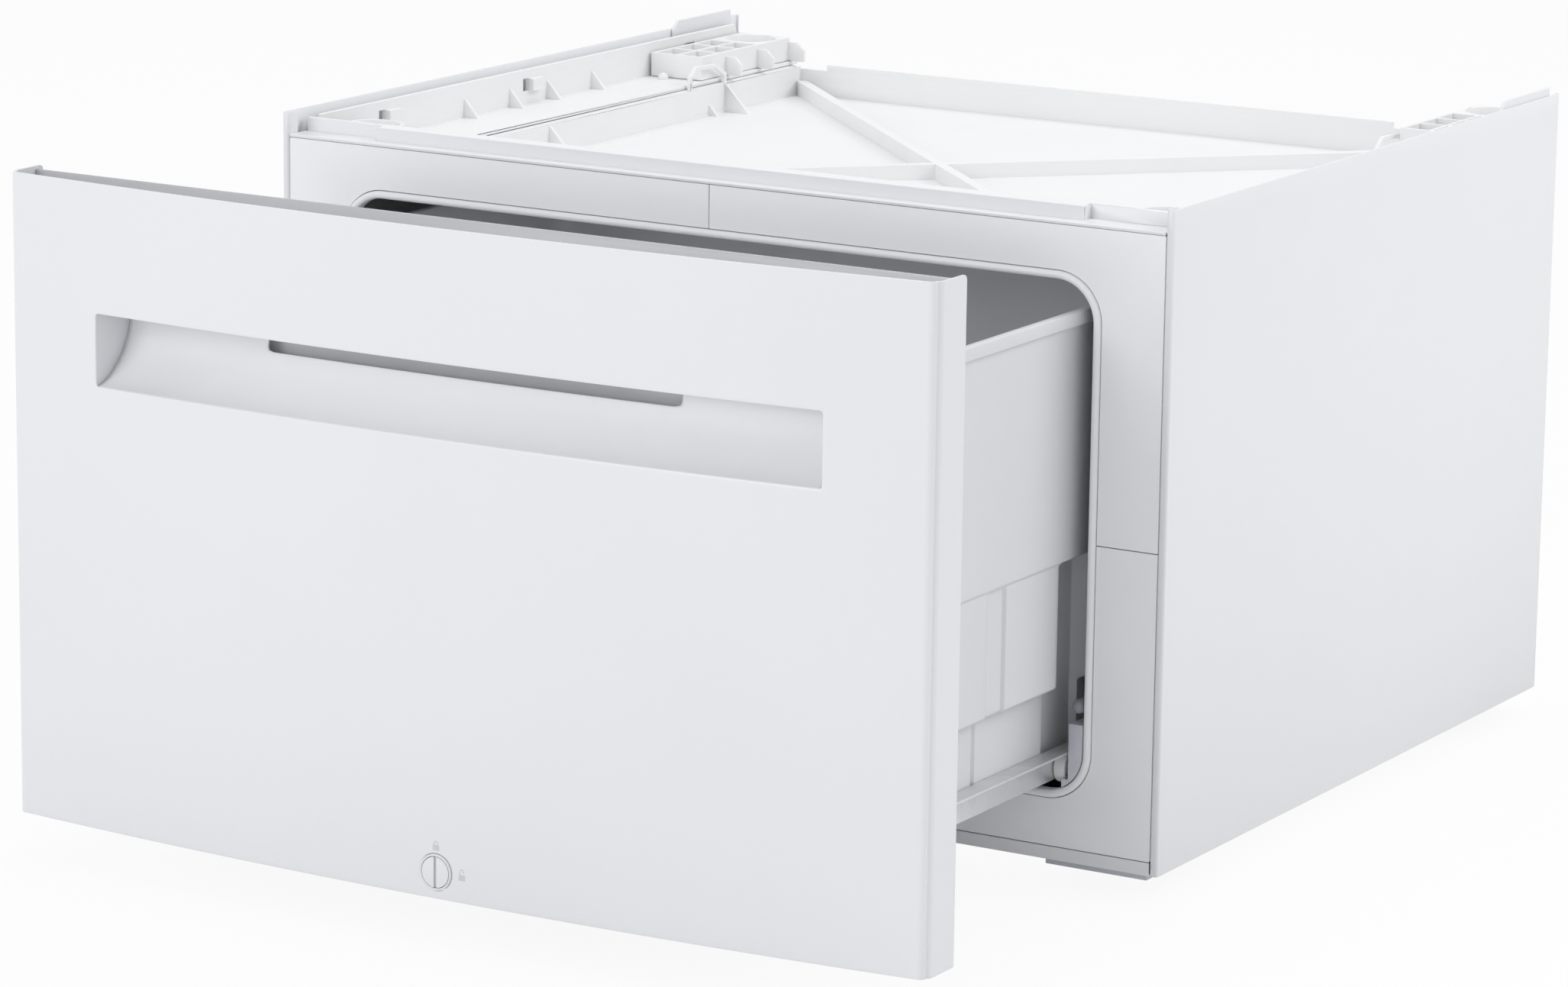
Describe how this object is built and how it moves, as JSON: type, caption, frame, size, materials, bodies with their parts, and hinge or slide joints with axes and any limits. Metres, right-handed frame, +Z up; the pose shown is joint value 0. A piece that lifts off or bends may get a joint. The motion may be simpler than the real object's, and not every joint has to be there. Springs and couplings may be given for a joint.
{
  "type": "washer pedestal drawer",
  "caption": "Steel pedestal for a front-loading washer with a bowed pull-out drawer on rollers, a coin lock, a braced top tray and levelling feet.",
  "frame": {"origin": "floor level, under the middle of the overall box with the drawer open as stored", "axes": "+Z up, -Y out of the drawer's front, +X to the right seen from the front"},
  "size_m": [0.598, 0.7972, 0.4],
  "materials": {
    "painted_steel": "satin white powder coat on sheet steel",
    "front_paint": "smooth satin white paint",
    "frame_plastic": "fine satin moulded plastic",
    "tray_plastic": "matte white moulded plastic",
    "tub_plastic": "satin pale grey moulded plastic",
    "inner_panel_steel": "satin grey coated sheet steel",
    "zinc_steel": "zinc-plated steel",
    "roller_plastic": "hard wheel plastic",
    "bracket_plastic": "moulded glass-filled plastic",
    "bumper_rubber": "soft grey rubber",
    "foot_rubber": "dark grey rubber"
  },
  "bodies": {
    "cabinet": {"side_panel_left": "painted_steel", "rear_upstand_tab_left": "painted_steel", "front_frame_upper_left": "frame_plastic", "front_frame_lower_left": "frame_plastic", "side_channel_left": "tray_plastic", "rear_foot_seat_left": "tray_plastic", "front_foot_seat_left": "tray_plastic", "cabinet_runner_left": "zinc_steel", "front_roller_axle_left": "zinc_steel", "roller_bracket_left": "bracket_plastic", "stop_bumper_left": "bumper_rubber", "corner_pad_front_left": "bracket_plastic", "corner_pad_rear_left": "bracket_plastic", "side_panel_right": "painted_steel", "rear_upstand_tab_right": "painted_steel", "front_frame_upper_right": "frame_plastic", "front_frame_lower_right": "frame_plastic", "side_channel_right": "tray_plastic", "rear_foot_seat_right": "tray_plastic", "front_foot_seat_right": "tray_plastic", "cabinet_runner_right": "zinc_steel", "front_roller_axle_right": "zinc_steel", "roller_bracket_right": "bracket_plastic", "stop_bumper_right": "bumper_rubber", "corner_pad_front_right": "bracket_plastic", "corner_pad_rear_right": "bracket_plastic", "back_panel": "painted_steel", "front_bottom_rail": "painted_steel", "front_top_rail": "painted_steel", "base_pan": "zinc_steel", "lock_strike_plate": "zinc_steel", "opening_rim": "frame_plastic", "top_tray": "tray_plastic"},
    "drawer": {"drawer_front_shell": "front_paint", "drawer_inner_panel": "inner_panel_steel", "handle_grip": "front_paint", "drawer_tub": "tub_plastic", "lock_body": "front_paint", "drawer_rail_left": "zinc_steel", "rear_roller_axle_left": "zinc_steel", "drawer_rail_right": "zinc_steel", "rear_roller_axle_right": "zinc_steel"},
    "lock": {"lock_knob": "front_paint", "lock_cam": "zinc_steel", "lock_cam_screw": "zinc_steel"},
    "front_roller_left": {"front_roller_left": "roller_plastic"},
    "rear_roller_left": {"rear_roller_left": "roller_plastic"},
    "foot_front_left": {"foot_pad_front_left": "foot_rubber"},
    "screw_front_left": {"foot_screw_front_left": "zinc_steel"},
    "foot_rear_left": {"foot_pad_rear_left": "foot_rubber"},
    "screw_rear_left": {"foot_screw_rear_left": "zinc_steel"},
    "front_roller_right": {"front_roller_right": "roller_plastic"},
    "rear_roller_right": {"rear_roller_right": "roller_plastic"},
    "foot_front_right": {"foot_pad_front_right": "foot_rubber"},
    "screw_front_right": {"foot_screw_front_right": "zinc_steel"},
    "foot_rear_right": {"foot_pad_rear_right": "foot_rubber"},
    "screw_rear_right": {"foot_screw_rear_right": "zinc_steel"}
  },
  "joints": [
    {"name": "drawer_slide", "type": "slide", "parent": "cabinet", "child": "drawer", "axis": [0, -1, 0], "range_m": [-0.231, 0.15]},
    {"name": "lock_turn", "type": "hinge", "parent": "drawer", "child": "lock", "pos_m": [0, -0.39855, 0.0386], "axis": [0, 1, 0], "range_deg": [0, 90]},
    {"name": "front_roller_left_spin", "type": "hinge", "parent": "cabinet", "child": "front_roller_left", "pos_m": [-0.23535, -0.11185, 0.0693], "axis": [1, 0, 0], "continuous": true},
    {"name": "rear_roller_left_spin", "type": "hinge", "parent": "drawer", "child": "rear_roller_left", "pos_m": [-0.23535, 0.07715, 0.0693], "axis": [1, 0, 0], "continuous": true},
    {"name": "front_roller_right_spin", "type": "hinge", "parent": "cabinet", "child": "front_roller_right", "pos_m": [0.23535, -0.11185, 0.0693], "axis": [1, 0, 0], "continuous": true},
    {"name": "rear_roller_right_spin", "type": "hinge", "parent": "drawer", "child": "rear_roller_right", "pos_m": [0.23535, 0.07715, 0.0693], "axis": [1, 0, 0], "continuous": true},
    {"name": "foot_front_left_height", "type": "slide", "parent": "cabinet", "child": "foot_front_left", "axis": [0, 0, -1], "range_m": [0, 0.012]},
    {"name": "foot_screw_front_left_turn", "type": "hinge", "parent": "foot_front_left", "child": "screw_front_left", "pos_m": [-0.236, -0.05085, 0.006], "axis": [0, 0, 1], "continuous": true},
    {"name": "foot_rear_left_height", "type": "slide", "parent": "cabinet", "child": "foot_rear_left", "axis": [0, 0, -1], "range_m": [0, 0.012]},
    {"name": "foot_screw_rear_left_turn", "type": "hinge", "parent": "foot_rear_left", "child": "screw_rear_left", "pos_m": [-0.236, 0.32855, 0.006], "axis": [0, 0, 1], "continuous": true},
    {"name": "foot_front_right_height", "type": "slide", "parent": "cabinet", "child": "foot_front_right", "axis": [0, 0, -1], "range_m": [0, 0.012]},
    {"name": "foot_screw_front_right_turn", "type": "hinge", "parent": "foot_front_right", "child": "screw_front_right", "pos_m": [0.236, -0.05085, 0.006], "axis": [0, 0, 1], "continuous": true},
    {"name": "foot_rear_right_height", "type": "slide", "parent": "cabinet", "child": "foot_rear_right", "axis": [0, 0, -1], "range_m": [0, 0.012]},
    {"name": "foot_screw_rear_right_turn", "type": "hinge", "parent": "foot_rear_right", "child": "screw_rear_right", "pos_m": [0.236, 0.32855, 0.006], "axis": [0, 0, 1], "continuous": true}
  ],
  "couplings": [
    {"joint": "front_roller_left_spin", "follows": "drawer_slide", "rad_per_m": 108.7},
    {"joint": "rear_roller_left_spin", "follows": "drawer_slide", "rad_per_m": 108.7},
    {"joint": "front_roller_right_spin", "follows": "drawer_slide", "rad_per_m": 108.7},
    {"joint": "rear_roller_right_spin", "follows": "drawer_slide", "rad_per_m": 108.7},
    {"joint": "foot_screw_front_left_turn", "follows": "foot_front_left_height", "rad_per_m": -5026.5},
    {"joint": "foot_screw_rear_left_turn", "follows": "foot_rear_left_height", "rad_per_m": -5026.5},
    {"joint": "foot_screw_front_right_turn", "follows": "foot_front_right_height", "rad_per_m": -5026.5},
    {"joint": "foot_screw_rear_right_turn", "follows": "foot_rear_right_height", "rad_per_m": -5026.5}
  ]
}
